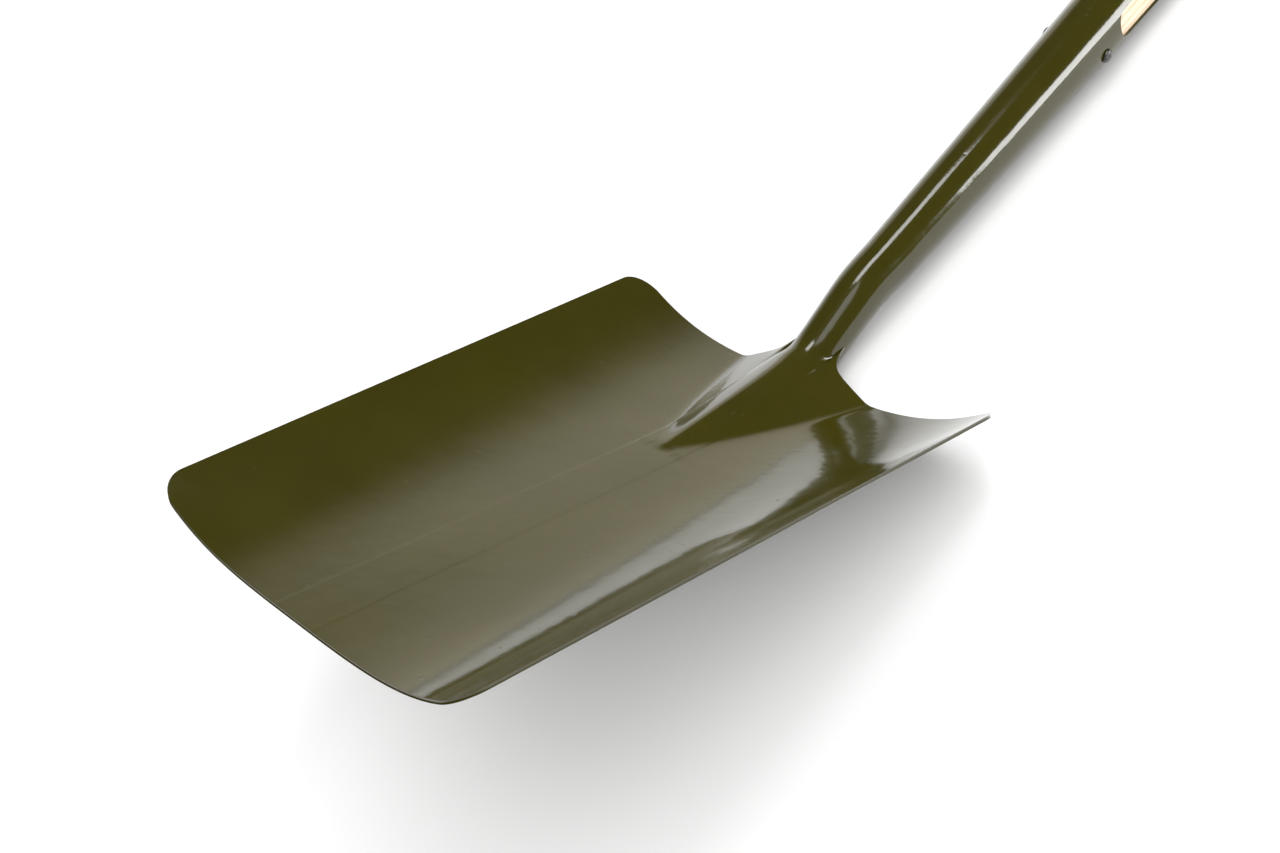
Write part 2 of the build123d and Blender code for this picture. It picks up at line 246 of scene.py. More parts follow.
@dataclass
class NodeTree:
    """Builds a material's nodes with short calls."""

    material: bpy.types.ID
    shader_kind: str = "ShaderNodeBsdfPrincipled"
    output_kind: str = "ShaderNodeOutputMaterial"

    def __post_init__(self) -> None:
        """Empties the tree and makes the shader and the output."""
        self.material.use_nodes = True
        self.tree = self.material.node_tree
        self.tree.nodes.clear()
        self.shader = self.add(self.shader_kind)
        self.link(self.shader, 0, self.add(self.output_kind), "Surface")
        self.place = self.add("ShaderNodeTexCoord")

    def add(self, kind: str, **values: object) -> bpy.types.Node:
        """Adds a node and sets its own fields."""
        node = self.tree.nodes.new(kind)
        for key, value in values.items():
            setattr(node, key, value)
        return node

    def link(self, a: bpy.types.Node, out: int | str, b: bpy.types.Node, into: int | str) -> None:
        """Links an output of one node to an input of another."""
        self.tree.links.new(a.outputs[out], b.inputs[into])

    def scaled(self, scale: tuple[float, float, float]) -> bpy.types.Node:
        """Object coordinates, scaled."""
        node = self.add("ShaderNodeMapping")
        node.inputs["Scale"].default_value = scale
        self.link(self.place, "Object", node, "Vector")
        return node

    def noise(self, scale: float, detail: float, rough: float, base: bpy.types.Node | None = None) -> bpy.types.Node:
        """Noise texture on object coordinates or on another node's vector."""
        node = self.add("ShaderNodeTexNoise")
        node.inputs["Scale"].default_value = scale
        node.inputs["Detail"].default_value = detail
        node.inputs["Roughness"].default_value = rough
        if base is None:
            self.link(self.place, "Object", node, "Vector")
        else:
            self.link(base, 0, node, "Vector")
        return node

    def ranged(self, source: bpy.types.Node, low: float, high: float, to_low: float, to_high: float) -> bpy.types.Node:
        """Maps a value from one range to another, clamped."""
        node = self.add("ShaderNodeMapRange")
        for name, value in (
            ("From Min", low), ("From Max", high), ("To Min", to_low), ("To Max", to_high),
        ):
            node.inputs[name].default_value = value
        self.link(source, 0, node, "Value")
        return node

    def window(self, source: bpy.types.Node, low: float, high: float, to_low: float, to_high: float) -> bpy.types.Node:
        """Soft step between two angles in degrees, read from a value in radians."""
        node = self.ranged(source, math.radians(low), math.radians(high), to_low, to_high)
        node.interpolation_type = "SMOOTHSTEP"
        return node

    def maths(self, operation: str, a: bpy.types.Node, b: bpy.types.Node | float) -> bpy.types.Node:
        """Math node on two values."""
        node = self.add("ShaderNodeMath", operation=operation)
        self.link(a, 0, node, 0)
        if isinstance(b, bpy.types.Node):
            self.link(b, 0, node, 1)
        else:
            node.inputs[1].default_value = b
        return node

    def ramp(self, source: bpy.types.Node, stops: list[tuple[float, tuple[float, float, float]]]) -> bpy.types.Node:
        """Colour ramp from a value."""
        node = self.add("ShaderNodeValToRGB")
        while len(node.color_ramp.elements) < len(stops):
            node.color_ramp.elements.new(0.5)
        for element, (place, colour) in zip(node.color_ramp.elements, stops):
            element.position = place
            element.color = (*colour, 1)
        self.link(source, 0, node, "Fac")
        return node

    def bump(self, height: bpy.types.Node, distance: float, below: bpy.types.Node | None = None) -> bpy.types.Node:
        """Bump from a height value, in metres, on top of another bump."""
        node = self.add("ShaderNodeBump")
        node.inputs["Strength"].default_value = 1.0
        node.inputs["Distance"].default_value = distance
        self.link(height, 0, node, "Height")
        if below is not None:
            self.link(below, 0, node, "Normal")
        return node


@dataclass(frozen=True)
class Enamel:
    """Glossy olive stoving enamel over forged steel, with orange peel and fine marks."""

    dark: tuple[float, float, float] = (0.0265, 0.0235, 0.0014)
    light: tuple[float, float, float] = (0.0315, 0.0280, 0.0020)
    roughness: float = 0.10
    peel: float = 0.000030
    forging: float = 0.00016

    def material(self) -> bpy.types.Material:
        """Builds the enamel."""
        nodes = NodeTree(bpy.data.materials.new("olive_enamel_gloss"))
        shader = nodes.shader
        cloud = nodes.noise(14, 3, 0.6)
        colour = nodes.ramp(cloud, [(0.35, self.dark), (0.65, self.light)])
        nodes.link(colour, 0, shader, "Base Color")
        haze = nodes.noise(46, 4, 0.65)
        rough = nodes.ranged(haze, 0.3, 0.75, self.roughness, self.roughness + 0.06)
        nodes.link(rough, 0, shader, "Roughness")
        shader.inputs["IOR"].default_value = 1.5
        shader.inputs["Coat Weight"].default_value = 0.35
        shader.inputs["Coat Roughness"].default_value = 0.04
        waves = nodes.bump(nodes.noise(38, 2, 0.5), self.forging)
        peel = nodes.bump(nodes.noise(230, 2.5, 0.55), self.peel, waves)
        cells = nodes.add("ShaderNodeTexVoronoi")
        cells.inputs["Scale"].default_value = 62
        nodes.link(nodes.place, "Object", cells, "Vector")
        dimples = nodes.bump(nodes.ranged(cells, 0.0, 0.085, 0.0, 1.0), 0.00006, peel)
        sweep = nodes.scaled((4, 38, 20))
        scuffs = nodes.ranged(nodes.noise(26, 2, 0.5, sweep), 0.735, 0.78, 1.0, 0.0)
        marks = nodes.bump(scuffs, 0.00003, dimples)
        nodes.link(marks, 0, shader, "Normal")
        nodes.link(marks, 0, shader, "Coat Normal")
        return nodes.material


@dataclass(frozen=True)
class Ash:
    """Pale turned ash, with its grain along Y and a thin clear oil."""

    pale: tuple[float, float, float] = (0.80, 0.61, 0.45)
    warm: tuple[float, float, float] = (0.62, 0.40, 0.25)
    across: bool = False

    def material(self) -> bpy.types.Material:
        """Builds the wood."""
        nodes = NodeTree(bpy.data.materials.new("ash_across" if self.across else "ash_along"))
        shader = nodes.shader
        stretch = (0.07, 1.0, 1.0) if self.across else (1.0, 0.07, 1.0)
        grain = nodes.scaled(stretch)
        rings = nodes.add("ShaderNodeTexWave", wave_type="BANDS", bands_direction="Z")
        rings.inputs["Scale"].default_value = 62
        rings.inputs["Distortion"].default_value = 6
        rings.inputs["Detail"].default_value = 2
        rings.inputs["Detail Scale"].default_value = 0.6
        nodes.link(grain, 0, rings, "Vector")
        growth = nodes.ranged(rings, 0.45, 1.0, 0.0, 0.75)
        flecks = nodes.noise(900, 3, 0.6, grain)
        pores = nodes.ranged(flecks, 0.50, 0.70, 0.0, 0.55)
        total = nodes.maths("ADD", growth, pores)
        colour = nodes.ramp(total, [(0.0, self.pale), (1.0, self.warm)])
        nodes.link(colour, 0, shader, "Base Color")
        rough = nodes.ranged(flecks, 0.3, 0.7, 0.42, 0.6)
        nodes.link(rough, 0, shader, "Roughness")
        shader.inputs["Coat Weight"].default_value = 0.12
        shader.inputs["Coat Roughness"].default_value = 0.3
        fibres = nodes.bump(pores, -0.00006)
        turning = nodes.bump(nodes.noise(60, 2, 0.5), 0.0001, fibres)
        nodes.link(turning, 0, shader, "Normal")
        return nodes.material


@dataclass(frozen=True)
class DarkSteel:
    """Dark mill-finish steel with burnished high spots."""

    dark: tuple[float, float, float] = (0.05, 0.05, 0.048)
    bright: tuple[float, float, float] = (0.26, 0.25, 0.24)

    def material(self) -> bpy.types.Material:
        """Builds the steel."""
        nodes = NodeTree(bpy.data.materials.new("dark_mill_steel"))
        shader = nodes.shader
        wear = nodes.noise(420, 4, 0.7)
        colour = nodes.ramp(wear, [(0.4, self.dark), (0.75, self.bright)])
        nodes.link(colour, 0, shader, "Base Color")
        rough = nodes.ranged(wear, 0.3, 0.7, 0.45, 0.28)
        nodes.link(rough, 0, shader, "Roughness")
        shader.inputs["Metallic"].default_value = 0.9
        hammer = nodes.bump(nodes.noise(380, 2, 0.5), 0.00010)
        nodes.link(hammer, 0, shader, "Normal")
        return nodes.material


@dataclass(frozen=True)
class PaleFloor:
    """Plain pale studio floor."""

    colour: tuple[float, float, float] = (0.78, 0.78, 0.78)

    def material(self) -> bpy.types.Material:
        """Builds the floor's paint, with a barely visible tone."""
        nodes = NodeTree(bpy.data.materials.new("pale_floor"))
        tone = nodes.noise(0.8, 2, 0.5)
        darker = tuple(0.985 * part for part in self.colour)
        nodes.link(nodes.ramp(tone, [(0.3, darker), (0.7, self.colour)]), 0, nodes.shader, "Base Color")
        nodes.shader.inputs["Roughness"].default_value = 0.8
        nodes.shader.inputs["Specular IOR Level"].default_value = 0.1
        return nodes.material


# ---- Spade head ----


@dataclass
class SpadeHead:
    """Blade, frog, neck, socket and straps: one forging, modelled as one closed skin."""

    lay: Lay
    mouth_width: float = 224.9
    heel_width: float = 254.0
    length: float = 323.1
    mouth_side: float = 19.8
    heel_side: float = 31.4
    mouth_power: float = 3.64
    heel_power: float = 3.13
    mouth_bow: float = 0.9
    heel_bow: float = 4.4
    heel_bow_power: float = 2.17
    mouth_corner: float = 13.0
    heel_corner: float = 15.5
    sheet: float = 1.8
    rim_round: float = 0.5
    frog_tip: float = 213.1
    frog_rise: float = 0.185
    frog_spread: float = 0.258
    frog_roundness: float = 1.64
    crease: float = 1.1
    neck_blend: float = 6.0
    ring_half: int = 24
    first_ring: float = -3.0
    neck: tuple[tuple[float, ...], ...] = (
        # distance up the axis, dip under it, radius
        (-13.0, 6.2, 13.5),
        (11.0, 2.2, 14.0),
        (34.0, -0.8, 14.7),
        (60.0, 0.0, 15.4),
        (84.0, 0.0, 15.97),
    )
    cone_start: float = 60.0
    socket_length: float = 274.0
    mouth_radius: float = 20.5
    wall: float = 1.6
    bore_start: float = 78.0
    slot_bottom: float = 273.0
    slot_radius: float = 8.2
    slot_offset: float = 1.4
    strap_end: float = 456.0
    strap_width: float = 27.0
    corner_columns: int = 10
    side_columns: int = 30

    # -- the blade as a plan --

    def half_width(self, y: float) -> float:
        """Half of the blade's width, without the rim's rounding."""
        return mix(self.mouth_width, self.heel_width, y / self.length) / 2

    def corner(self, inside: float, radius: float) -> float:
        """How far a rounded corner draws an edge in, at a distance inside the blade's side."""
        if inside >= radius:
            return 0.0
        return radius - math.sqrt(max(0.0, radius**2 - (radius - inside) ** 2))

    def mouth_edge(self, x: float, inside: float) -> float:
        """Place of the mouth's edge."""
        bow = self.mouth_bow * (1 - (2 * x / self.mouth_width) ** 2)
        return self.rim_round - bow + self.corner(inside, self.mouth_corner)

    def heel_edge(self, x: float, inside: float) -> float:
        """Place of the heel's edge, before it runs on to the neck."""
        share = min(1.0, abs(x) / (self.heel_width / 2))
        bow = self.heel_bow * (1 - share) ** self.heel_bow_power
        return self.length - self.rim_round + bow - self.corner(inside, self.heel_corner)

    def pan(self, x: float, y: float) -> float:
        """Height of the dish over its floor."""
        share = y / self.length
        side = mix(self.mouth_side, self.heel_side, share)
        power = mix(self.mouth_power, self.heel_power, share)
        return side * (abs(x) / self.half_width(y)) ** power

    def frog(self, x: float, y: float) -> float:
        """Height of the frog: a roof with a rounded crest that widens from its tip."""
        behind = y - self.frog_tip
        if behind <= 0.5:
            return -20.0 + behind
        height = self.frog_rise * behind
        half = self.frog_spread * behind + self.frog_roundness * math.sqrt(behind)
        crest = 0.10 * half + 0.8
        fall = height / (math.hypot(half, crest) - crest)
        return height - fall * (math.hypot(x, crest) - crest)

    def ring_place(self) -> tuple[Vector, float, float]:
        """Centre, radius and pitch of the first full ring of the neck."""
        return self.ring(self.first_ring)

    def top(self, x: float, y: float) -> float:
        """Height of the head's upper skin over a place in the plan."""
        skin = smooth_max(self.pan(x, y), self.frog(x, y), self.crease)
        centre, radius, pitch = self.first
        reach = radius**2 - x * x
        if reach > 0:
            axis_height = centre.z + (y - centre.y) * math.tan(pitch)
            blend = mix(self.neck_blend, 0.8, smooth_step(312, 330, y))
            skin = smooth_max(skin, axis_height + math.sqrt(reach) / math.cos(pitch), blend)
        return skin

    def under(self, x: float, y: float, top: float) -> float:
        """Height of the head's lower skin, under a top height: the sheet, or the neck's tongue."""
        slope = (self.top(x + 0.5, y) - self.top(x - 0.5, y)) if abs(x) > 16 else 0.0
        skin = top - self.sheet * math.sqrt(1 + slope * slope)
        centre, radius, pitch = self.first
        if abs(x) >= radius or y < 250:
            return skin
        rise = centre.z + (y - centre.y) * math.tan(pitch) - radius / math.cos(pitch)
        belly = smooth_max(rise, -3.2, 6.0)
        belly = mix(8.0, belly, smooth_step(262, 300, y))
        return smooth_min(skin, belly + radius - math.sqrt(radius**2 - x * x), 1.5)

    def skin_height(self, x: float, y: float, upper: bool) -> float:
        """Height of the upper or lower skin over a place in the plan."""
        height = self.top(x, y)
        return height if upper else self.under(x, y, height)

    # -- the neck, socket and straps as rings --

    def ring(self, distance: float) -> tuple[Vector, float, float]:
        """Centre, radius and pitch of the neck or socket at a distance up the axis.

        Args:
            distance: Distance up the socket's axis from its foot.

        Returns:
            The ring's centre and radius, and its pitch above the blade in radians.
        """
        if distance >= self.cone_start:
            share = (distance - self.cone_start) / (self.socket_length - self.cone_start)
            radius = mix(15.4, self.mouth_radius, min(1.0, share))
            return self.lay.on_axis(distance), radius, math.radians(self.lay.lift)
        dip, radius = along_table(list(self.neck), distance)
        step = along_table(list(self.neck), distance + 0.5)[0] - dip
        pitch = math.radians(self.lay.lift) - math.atan2(step, 0.5)
        return self.lay.on_axis(distance, front=-dip), radius, pitch

    def on_ring(self, distance: float, angle: float, inset: float = 0.0) -> Vector:
        """Place on the skin of the neck or socket.

        Args:
            distance: Distance up the axis.
            angle: Angle round it in radians, 0 in front, a quarter turn towards +X.
            inset: Depth under the skin.

        Returns:
            The place, in the blade's frame.
        """
        centre, radius, pitch = self.ring(distance)
        out = Vector((0, -math.sin(pitch), math.cos(pitch)))
        wave = noise.noise(Vector((math.sin(angle) * 0.9, math.cos(angle) * 0.9, distance * 0.045)))
        radius += 0.10 * wave * smooth_step(20, 70, distance) - inset
        return centre + out * (radius * math.cos(angle)) + Vector((radius * math.sin(angle), 0, 0))

    def slot_half(self, distance: float) -> float:
        """Half height of the gap between the straps at a distance up the axis."""
        corner = self.slot_bottom + self.slot_radius
        if distance < corner:
            return math.sqrt(max(0.0, self.slot_radius**2 - (corner - distance) ** 2))
        end_half = math.sqrt(self.mouth_radius**2 - (self.strap_width / 2) ** 2)
        share = (distance - corner) / (self.strap_end - corner)
        return mix(self.slot_radius, end_half, share)

    def strap_half_angle(self, distance: float, front: bool) -> float:
        """Half of the angle that the front or back half of the socket covers.

        Args:
            distance: Distance up the axis.
            front: Whether it is the front half.

        Returns:
            The half angle, in radians.
        """
        closed = math.pi / 2 - math.pi / (4 * self.ring_half + 2)
        side = 1 if front else -1
        if distance >= self.slot_bottom:
            gap = max(0.35, self.slot_half(distance))
            offset = self.slot_offset * mix(1, 0, smooth_step(281, 456, distance))
            return math.acos(min(1.0, (gap + side * offset) / self.mouth_radius))
        at_slot = math.acos((0.35 + side * self.slot_offset) / self.mouth_radius)
        return mix(closed, at_slot, smooth_step(self.slot_bottom - 24, self.slot_bottom, distance))

    def ring_angles(self, distance: float) -> list[float]:
        """Angles of a full ring's vertices: the front half, then the back half."""
        half = self.ring_half
        front = self.strap_half_angle(distance, True)
        back = self.strap_half_angle(distance, False)
        fronts = [front * (i / half - 1) for i in range(2 * half + 1)]
        return fronts + [math.pi - back + back * i / half for i in range(2 * half + 1)]

    # -- building --

    def columns(self) -> list[tuple[float, float]]:
        """Columns of the plan, from left to right.

        Returns:
            For each column, its fixed distance from the middle, and its share of what is left
            of the half width.
        """
        half = self.ring_half
        radius = self.first[1]
        closed = self.strap_half_angle(self.first_ring, True)
        middle = [(radius * math.sin(closed * (i / half - 1)), 0.0) for i in range(2 * half + 1)]
        edge = middle[-1][0]
        rest = self.heel_width / 2 - edge
        zone = 14.0 / rest
        turn = math.pi / 2 / self.corner_columns
        near = [zone * (1 - math.cos(turn * i)) for i in range(self.corner_columns + 1)]
        ease = [(i / self.side_columns) ** 1.35 for i in range(1, self.side_columns)]
        shares = [(1 - zone) * e for e in ease] + [1 - n for n in reversed(near)]
        right = [(edge, share) for share in shares]
        left = [(-edge, -share) for share in reversed(shares)]
        return left + middle + right

    def rows(self) -> list[float]:
        """Rows of the plan as shares from the mouth to the heel, close together at the edges."""
        near = [0.0, 0.0012, 0.004, 0.009]
        inner = [0.016 + (0.984 - 0.016) * i / 104 for i in range(105)]
        return near + inner + [1 - n for n in reversed(near)]

    def plan_place(self, column: tuple[float, float], row: float, upper: bool) -> Vector:
        """Place of a plan vertex on the upper or lower skin.

        Args:
            column: Entry of columns().
            row: Share from the mouth to the heel.
            upper: Whether it is on the upper skin.

        Returns:
            The place, in the blade's frame.
        """
        fixed, share = column
        centre, radius, pitch = self.first
        y = row * self.length
        for _ in range(3):
            width = self.half_width(y) - self.rim_round
            x = fixed + share * (width - abs(fixed))
            inside = width - abs(x)
            start = self.mouth_edge(x, inside)
            end = self.heel_edge(x, inside)
            if share == 0.0:
                cosine = math.sqrt(max(0.0, 1 - (x / radius) ** 2))
                reach = radius * math.sin(pitch) * cosine
                end = centre.y - reach if upper else centre.y + reach
            else:
                beyond = abs(x) - abs(fixed)
                end += (centre.y - end) * math.exp(-beyond / 2.6)
            y = mix(start, end, row)
        height = self.skin_height(x, y, upper)
        if share == 0.0:
            lift = radius * math.cos(pitch) * cosine
            target, reach = centre.z + (lift if upper else -lift), 1.0
        else:
            target, reach = centre.z - (0.0 if upper else self.sheet), math.exp(-beyond / 2.2)
        miss = target - self.skin_height(x, end, upper)
        height += miss * reach * smooth_step(0.93, 1.0, row)
        return Vector((x, y, height))

    def skin(self, bm: bmesh.types.BMesh, upper: bool) -> list[list[bmesh.types.BMVert]]:
        """Makes the upper or lower skin of the blade from a grid.

        Args:
            bm: Mesh to add to.
            upper: Whether it is the upper skin.

        Returns:
            Its vertices as columns of rows.
        """
        columns, rows = self.columns(), self.rows()
        made = bmesh.ops.create_grid(
            bm, x_segments=len(columns) - 1, y_segments=len(rows) - 1, size=0.5
        )["verts"]
        grid = sorted(made, key=lambda v: (round(v.co.x, 5), v.co.y))
        table = [grid[i * len(rows) : (i + 1) * len(rows)] for i in range(len(columns))]
        for column, verts in zip(columns, table):
            for row, vert in zip(rows, verts):
                vert.co = self.plan_place(column, row, upper)
        return table

    def rim(self, bm: bmesh.types.BMesh, first: list, second: list, out: float) -> None:
        """Joins two chains of vertices with a rounded rim.

        Args:
            bm: Mesh to add to.
            first: Vertices of one chain.
            second: Vertices of the other, in the same order.
            out: How far the rim's middle stands out.
        """
        rails = []
        for chain in (first, second):
            rails += [bm.edges.get(pair) for pair in zip(chain, chain[1:])]
        faces = bmesh.ops.bridge_loops(bm, edges=rails)["faces"]
        ends = set(first) | set(second)
        rungs = {e for f in faces for e in f.edges} - set(rails)
        cut = bmesh.ops.subdivide_edges(bm, edges=list(rungs), cuts=3, use_grid_fill=True)
        inner = [g for g in cut["geom_inner"] if isinstance(g, bmesh.types.BMVert) and g not in ends]
        bm.normal_update()
        moves = []
        for vert in inner:
            gap = min((vert.co - end.co).length for end in self.nearest(vert, ends))
            moves.append((vert, vert.normal.copy(), gap))
        widest = max(gap for _, _, gap in moves)
        for vert, normal, gap in moves:
            middle = gap > 0.8 * widest
            vert.co += normal * (out if middle else out * 0.78)

    @staticmethod
    def nearest(vert: bmesh.types.BMVert, ends: set) -> list[bmesh.types.BMVert]:
        """Chain vertices at the ends of a rim vertex's own rung."""
        found, seen, edge_of = [], {vert}, [vert]
        while edge_of:
            here = edge_of.pop()
            for edge in here.link_edges:
                other = edge.other_vert(here)
                if other in ends:
                    found.append(other)
                elif other not in seen and len(seen) < 12:
                    seen.add(other)
                    edge_of.append(other)
        return found or [vert]

    def rings(self, bm: bmesh.types.BMesh, loop: list, stations: list[float]) -> list:
        """Extrudes a full ring up the neck and the socket.

        Args:
            bm: Mesh to add to.
            loop: The ring's vertices, front half first.
            stations: Distances of the next rings.

        Returns:
            The last ring's vertices.
        """
        for distance in stations:
            edges = [bm.edges.get(pair) for pair in zip(loop, loop[1:] + loop[:1])]
            made = bmesh.ops.extrude_edge_only(bm, edges=edges)["geom"]
            fresh = {g for g in made if isinstance(g, bmesh.types.BMVert)}
            loop = [self.step(vert, fresh) for vert in loop]
            for vert, angle in zip(loop, self.ring_angles(distance)):
                vert.co = self.on_ring(distance, angle)
        return loop

    @staticmethod
    def step(vert: bmesh.types.BMVert, fresh: set) -> bmesh.types.BMVert:
        """New vertex that was extruded from this one."""
        return next(e.other_vert(vert) for e in vert.link_edges if e.other_vert(vert) in fresh)

    def strap(self, bm: bmesh.types.BMesh, chain: list, front: bool) -> list:
        """Extrudes one half of the socket into its strap, with a rounded end.

        Args:
            bm: Mesh to add to.
            chain: Vertices of that half of the last ring.
            front: Whether it is the front half.

        Returns:
            Its outline: up one edge, round the end and down the other.
        """
        corner = self.slot_bottom + self.slot_radius
        round_steps = 9
        rounds = [corner - self.slot_radius * math.cos(math.pi / 2 * i / round_steps) for i in range(1, round_steps + 1)]
        shares = [i / 34 for i in range(1, 33)] + [0.955, 0.972, 0.986, 0.994, 0.998, 1.0]
        edge_up, edge_down = [chain[-1]], [chain[0]]
        tip = self.strap_end - self.strap_width / 2
        for step, value in [(0, r) for r in rounds] + [(1, s) for s in shares]:
            edges = [bm.edges.get(pair) for pair in zip(chain, chain[1:])]
            made = bmesh.ops.extrude_edge_only(bm, edges=edges)["geom"]
            fresh = {g for g in made if isinstance(g, bmesh.types.BMVert)}
            chain = [self.step(vert, fresh) for vert in chain]
            count = len(chain) - 1
            for i, vert in enumerate(chain):
                turn = 2 * i / count - 1
                if step == 0:
                    distance = value
                else:
                    end_half = self.strap_width / 2
                    x = end_half * math.sin(math.pi / 2 * turn)
                    end = tip + math.sqrt(max(0.0, end_half**2 - x * x))
                    distance = mix(corner, end, value)
                half = self.strap_half_angle(distance, front)
                even = half * turn
                ease = value if step else 0.0
                narrow = math.asin(self.strap_width / 2 / self.mouth_radius * math.sin(math.pi / 2 * turn))
                angle = mix(even, narrow, smooth_step(0.7, 1.0, ease))
                vert.co = self.on_ring(distance, angle if front else math.pi + angle)
            edge_up.append(chain[-1])
            edge_down.append(chain[0])
        return edge_up + list(reversed(chain[1:-1])) + list(reversed(edge_down))

    def build(self) -> bpy.types.Object:
        """Makes the whole head as one closed skin."""
        self.first = self.ring(self.first_ring)
        bm = bmesh.new()
        upper, lower = self.skin(bm, True), self.skin(bm, False)
        half = self.ring_half
        count = len(upper)
        left = (count - 1) // 2 - half
        right = left + 2 * half

        def outline(table: list[list]) -> list:
            """Perimeter from the left of the neck round the mouth to its right."""
            chain = [table[i][-1] for i in range(left, -1, -1)]
            chain += list(reversed(table[0][:-1]))
            chain += [table[i][0] for i in range(1, count)]
            chain += table[-1][1:]
            chain += [table[i][-1] for i in range(count - 2, right - 1, -1)]
            return chain

        self.rim(bm, outline(upper), outline(lower), self.rim_round)
        self.neck_and_socket(bm)
        bmesh.ops.remove_doubles(bm, verts=bm.verts[:], dist=0.002)
        bmesh.ops.holes_fill(bm, edges=[edge for edge in bm.edges if edge.is_boundary], sides=8)
        return make_piece("spade_head_skin", bm, self.lay.matrix(), 60)

    def neck_and_socket(self, bm: bmesh.types.BMesh) -> None:
        """Adds the neck, the socket and the straps to the blade's skins."""
        ring = self.start_ring(bm)
        stations = [mix(self.first_ring, 57.0, i / 19) for i in range(1, 20)]
        stations += [mix(60, 249, i / 32) for i in range(1, 33)]
        stations += [mix(249, self.slot_bottom, i / 8) for i in range(1, 9)]
        ring = self.rings(bm, ring, stations)
        half = 2 * self.ring_half + 1
        front = self.strap(bm, ring[:half], True)
        back = self.strap(bm, ring[half:], False)
        self.line(bm, front + back)

    def start_ring(self, bm: bmesh.types.BMesh) -> list:
        """Makes the neck's first ring, which closes on the blade's skins when doubles merge."""
        count = 4 * self.ring_half + 2
        made = bmesh.ops.create_circle(bm, segments=count, radius=1)["verts"]
        loop = sorted(made, key=lambda v: math.atan2(v.co.y, v.co.x))
        for vert, angle in zip(loop, self.ring_angles(self.first_ring)):
            vert.co = self.on_ring(self.first_ring, angle)
        return loop

    def line(self, bm: bmesh.types.BMesh, outline: list) -> None:
        """Turns the open edge of the slots and straps down to the shaft.

        Args:
            bm: Mesh to add to.
            outline: Vertices of the open edge.
        """
        edges = {e for v in outline for e in v.link_edges if len(e.link_faces) == 1}
        for inset in (0.35, self.wall):
            made = bmesh.ops.extrude_edge_only(bm, edges=list(edges))["geom"]
            verts = [g for g in made if isinstance(g, bmesh.types.BMVert)]
            edges = {g for g in made if isinstance(g, bmesh.types.BMEdge)}
            edges = {e for e in edges if len(e.link_faces) == 1}
            foot, up = self.lay.on_axis(0), self.lay.up
            for vert in verts:
                centre = foot + up * (vert.co - foot).dot(up)
                radius = (vert.co - centre).length
                vert.co = centre + (vert.co - centre) * ((radius - inset) / radius)


# ---- Turned pieces ----


@dataclass
class Turned:
    """A piece turned on a lathe or headed in a press, placed by its matrix."""

    name: str
    node: str
    place: Matrix
    steps: int = 48

    def profile(self) -> list[tuple[float, float]]:
        """Radius and height of the profile's points."""
        raise NotImplementedError

    def build(self, lay: Lay, skin: bpy.types.Material, slot: Slot) -> None:
        """Spins, places and dresses the piece.

        Args:
            lay: How the spade lies.
            skin: Its material.
            slot: The record's slot for it; not used.
        """
        bm = turned_piece(self.profile(), self.steps)
        bmesh.ops.transform(bm, matrix=self.place, verts=bm.verts[:])
        finish_piece(make_piece(self.name, bm, lay.matrix(), 45), skin, slot, self.node)


@dataclass
class Rivet(Turned):
    """Rivet or headed rod, with a domed head at each end."""

    span: float = 41.0
    radius: float = 2.75
    head_radius: float = 5.0
    head_height: float = 1.6
    seat: float = 0.25

    def profile(self) -> list[tuple[float, float]]:
        """Dome, rim and shank of one end, mirrored for the other."""
        half = self.span / 2
        top = []
        for i in range(9):
            turn = math.pi / 2 * i / 8
            drop = self.head_height - self.seat
            top.append((self.head_radius * math.sin(turn), half + self.seat + drop * math.cos(turn)))
        top += [(self.head_radius - 0.1, half), (self.radius, half - 0.02), (self.radius, half - 1)]
        return top + [(r, -h) for r, h in reversed(top)]


@dataclass
class Washer(Turned):
    """Flat washer under a rod's head, with softened rims."""

    radius: float = 9.5
    bore: float = 4.1
    thickness: float = 1.6
    soft: float = 0.35

    def profile(self) -> list[tuple[float, float]]:
        """Closed outline, starting and ending in the bore."""
        r, t, s = self.radius, self.thickness, self.soft
        return [
            (self.bore, s), (self.bore + s, 0), (r - s, 0), (r, s), (r, t - s),
            (r - s, t), (self.bore + s, t), (self.bore, t - s), (self.bore, s),
        ]


@dataclass
class CrossBar(Turned):
    """Barrel of turned ash between the eyes of the yoke."""

    half_length: float = 54.7
    middle_radius: float = 14.5
    end_radius: float = 12.5
    soft: float = 1.2
    bore: float = 4.1

    def profile(self) -> list[tuple[float, float]]:
        """Bore, end, barrel and other end."""
        places = [self.soft * (1 - math.cos(math.pi / 8 * i)) for i in range(5)]
        rounds = [
            (self.end_radius - self.soft + self.soft * math.sin(math.pi / 8 * i), self.half_length - p)
            for i, p in enumerate(places)
        ]
        barrel = []
        for i in range(1, 30):
            h = (self.half_length - self.soft) * (1 - i / 15)
            share = 1 - (h / self.half_length) ** 2
            wave = 0.05 * noise.noise(Vector((0.3, 0.7, h * 0.12)))
            barrel.append((mix(self.end_radius, self.middle_radius, share) + wave, h))
        right = [(self.bore, self.half_length - 0.4), (self.bore + 0.4, self.half_length)] + rounds
        left = [(r, -h) for r, h in reversed(right)]
        return right + barrel + left + [right[0]]


